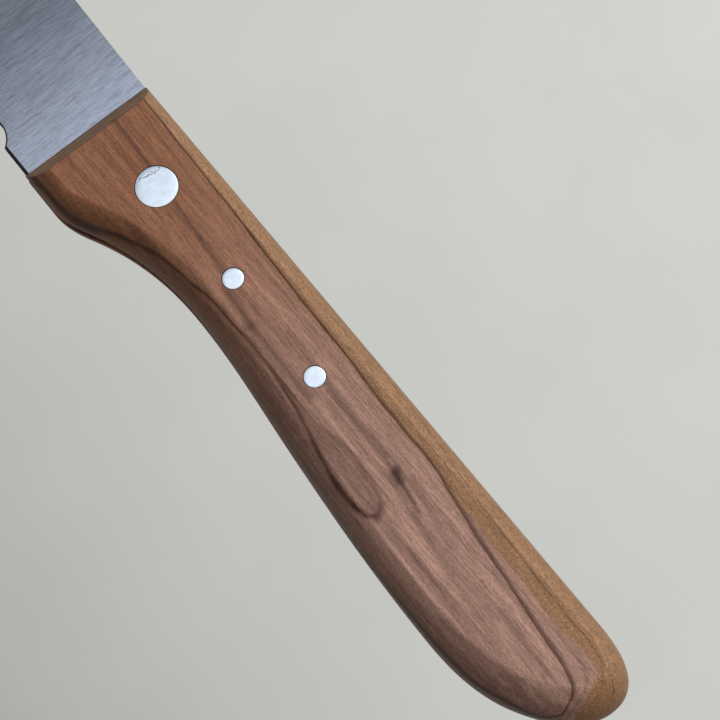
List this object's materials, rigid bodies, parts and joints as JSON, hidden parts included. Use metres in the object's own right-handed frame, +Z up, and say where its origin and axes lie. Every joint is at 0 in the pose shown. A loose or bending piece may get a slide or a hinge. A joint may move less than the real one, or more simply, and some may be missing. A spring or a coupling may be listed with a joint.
{
  "type": "boning knife",
  "caption": "Boning knife with a stamped steel blade, a half tang and a one-piece wooden handle riveted through, lying on its side.",
  "frame": {"origin": "middle of the knife's bounding box in plan, on the plane that its lower side rests on", "axes": "+X from the tip toward the butt, +Y from the edge toward the spine, +Z up, square to the blade's flat, with the knife lying on its side"},
  "size_m": [0.271, 0.0258, 0.016],
  "materials": {
    "blade_steel": "satin, with fine grinding lines across the blade",
    "handle_wood": "fine-grained fruitwood, oiled, with a paler strip of sapwood along the spine",
    "rivet_aluminium": "ground flush and lightly scratched"
  },
  "bodies": {
    "root": {"blade": "blade_steel", "handle": "handle_wood", "front_rivet": "rivet_aluminium", "middle_pin": "rivet_aluminium", "rear_pin": "rivet_aluminium"}
  },
  "joints": []
}
